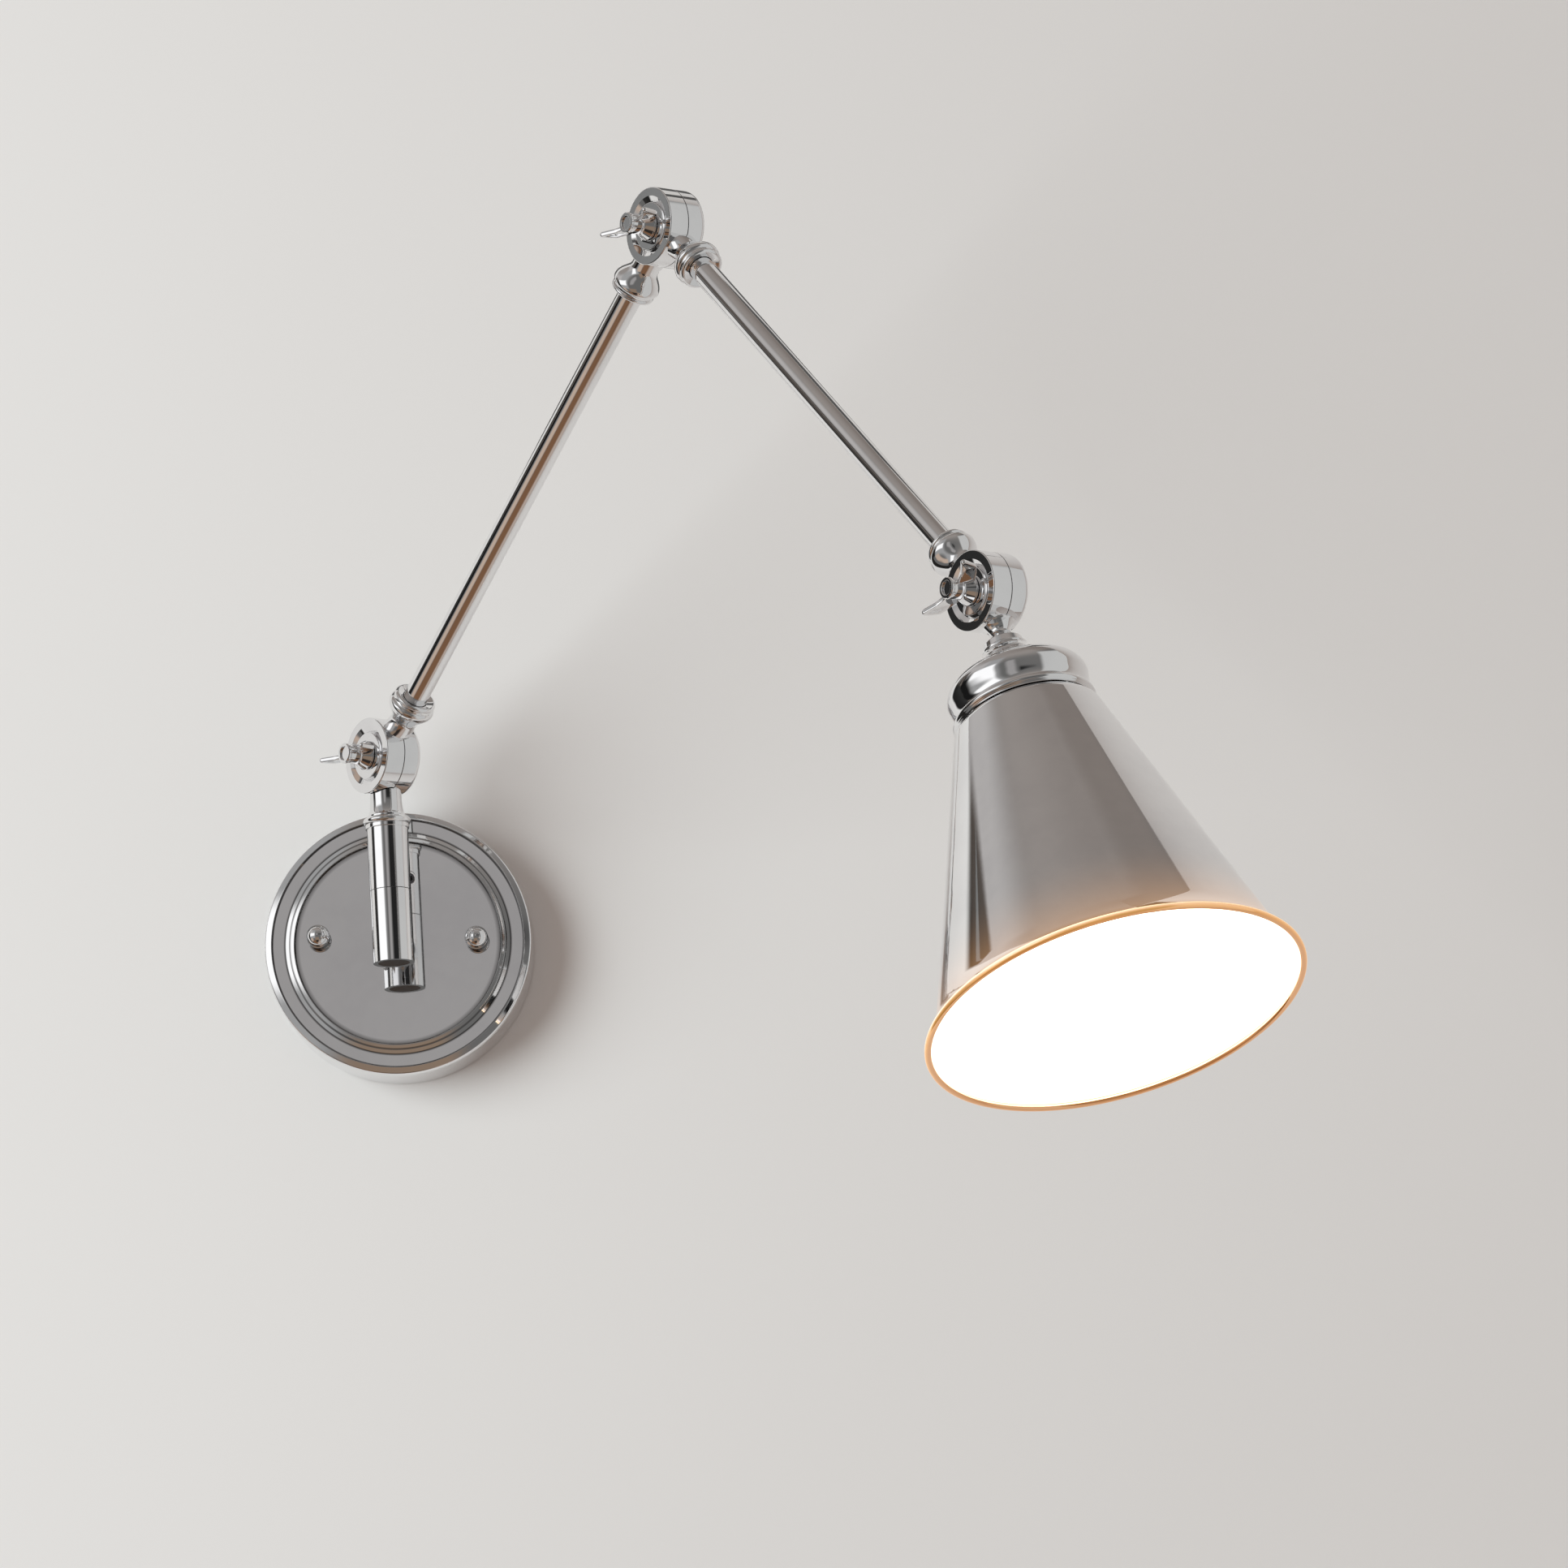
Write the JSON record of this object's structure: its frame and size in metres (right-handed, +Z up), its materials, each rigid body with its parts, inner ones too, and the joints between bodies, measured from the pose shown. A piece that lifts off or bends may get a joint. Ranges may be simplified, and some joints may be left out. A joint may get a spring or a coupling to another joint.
{
  "type": "adjustable wall lamp",
  "caption": "Adjustable wall lamp with a round wall plate, a swivelling post, straight arms on clamped knuckles and a tapered cone shade.",
  "frame": {"origin": "centre of the wall plate on the wall plane, at the back face of the mounting bracket", "axes": "+Y into the wall, -Y into the room, +Z up, +X to the right along the wall seen from the room"},
  "size_m": [0.46, 0.5362, 0.4458],
  "materials": {
    "chrome": "polished",
    "zinc_steel": "zinc plated",
    "brass": "plain turned",
    "white_nylon": "moulded",
    "flex_sheath": "soft matt",
    "black_resin": "moulded gloss",
    "porcelain": "glazed",
    "dark_steel": "blackened",
    "bulb_glass": "opal",
    "bulb_metal": "pressed"
  },
  "bodies": {
    "wall_mount": {"wall_plate": "chrome", "mounting_bracket": "zinc_steel", "bracket_studs": "zinc_steel", "stud_lock_nuts": "zinc_steel", "ball_nuts": "chrome", "stub_nipple": "brass", "nipple_washer": "zinc_steel", "nipple_lock_nut": "brass", "stub_sleeve": "chrome", "lower_barrel": "chrome", "barrel_end_plug": "chrome", "lower_set_screw": "dark_steel", "swivel_spindle": "zinc_steel", "swivel_washer": "white_nylon", "terminal_block": "white_nylon", "terminal_screws": "brass", "earth_screw": "brass", "inlet_flex": "flex_sheath"},
    "swivel_post": {"upper_barrel": "chrome", "post_collar": "chrome", "upper_set_screw": "dark_steel", "shoulder_back_half": "chrome", "shoulder_bolt": "chrome", "shoulder_friction_washer": "white_nylon", "post_flex": "flex_sheath"},
    "lower_arm": {"shoulder_front_half": "chrome", "shoulder_face_washer": "chrome", "lower_tube": "chrome", "elbow_back_half": "chrome", "elbow_bolt": "chrome", "elbow_friction_washer": "white_nylon", "lower_arm_flex": "flex_sheath"},
    "upper_arm": {"elbow_front_half": "chrome", "elbow_face_washer": "chrome", "upper_tube": "chrome", "head_back_half": "chrome", "head_bolt": "chrome", "head_friction_washer": "white_nylon", "upper_arm_flex": "flex_sheath"},
    "shade_head": {"head_front_half": "chrome", "head_face_washer": "chrome", "cap_collar": "chrome", "shade_cap": "chrome", "cap_nut": "brass", "shade": "chrome", "lampholder_shell": "black_resin", "lampholder_insulator": "porcelain", "holder_screw_shell": "brass", "centre_contact": "brass", "shade_ring": "black_resin", "head_flex": "flex_sheath", "bulb_cap": "bulb_metal", "bulb_globe": "bulb_glass"},
    "shoulder_wing_nut": {"shoulder_wing_nut": "chrome"},
    "elbow_wing_nut": {"elbow_wing_nut": "chrome"},
    "head_wing_nut": {"head_wing_nut": "chrome"}
  },
  "joints": [
    {"name": "post_swivel", "type": "hinge", "parent": "wall_mount", "child": "swivel_post", "pos_m": [0, -0.053, 0.0178], "axis": [0, 0, 1], "range_deg": [-120, 45]},
    {"name": "shoulder", "type": "hinge", "parent": "swivel_post", "child": "lower_arm", "pos_m": [0, -0.053, 0.079], "axis": [-0.7837, -0.6211, 0], "range_deg": [-60, 55]},
    {"name": "elbow", "type": "hinge", "parent": "lower_arm", "child": "upper_arm", "pos_m": [0.14784, -0.23952, 0.26163], "axis": [0.7837, 0.6211, 0], "range_deg": [-140, 50]},
    {"name": "head", "type": "hinge", "parent": "upper_arm", "child": "shade_head", "pos_m": [0.2796, -0.40577, 0.0495], "axis": [-0.7837, -0.6211, 0], "range_deg": [-95, 145]},
    {"name": "shoulder_nut_turn", "type": "hinge", "parent": "swivel_post", "child": "shoulder_wing_nut", "pos_m": [0, -0.053, 0.079], "axis": [-0.7837, -0.6211, 0], "range_deg": [-30, 180]},
    {"name": "elbow_nut_turn", "type": "hinge", "parent": "lower_arm", "child": "elbow_wing_nut", "pos_m": [0.14784, -0.23952, 0.26163], "axis": [-0.7837, -0.6211, 0], "range_deg": [-30, 180]},
    {"name": "head_nut_turn", "type": "hinge", "parent": "upper_arm", "child": "head_wing_nut", "pos_m": [0.2796, -0.40577, 0.0495], "axis": [-0.7837, -0.6211, 0], "range_deg": [-30, 180]}
  ]
}
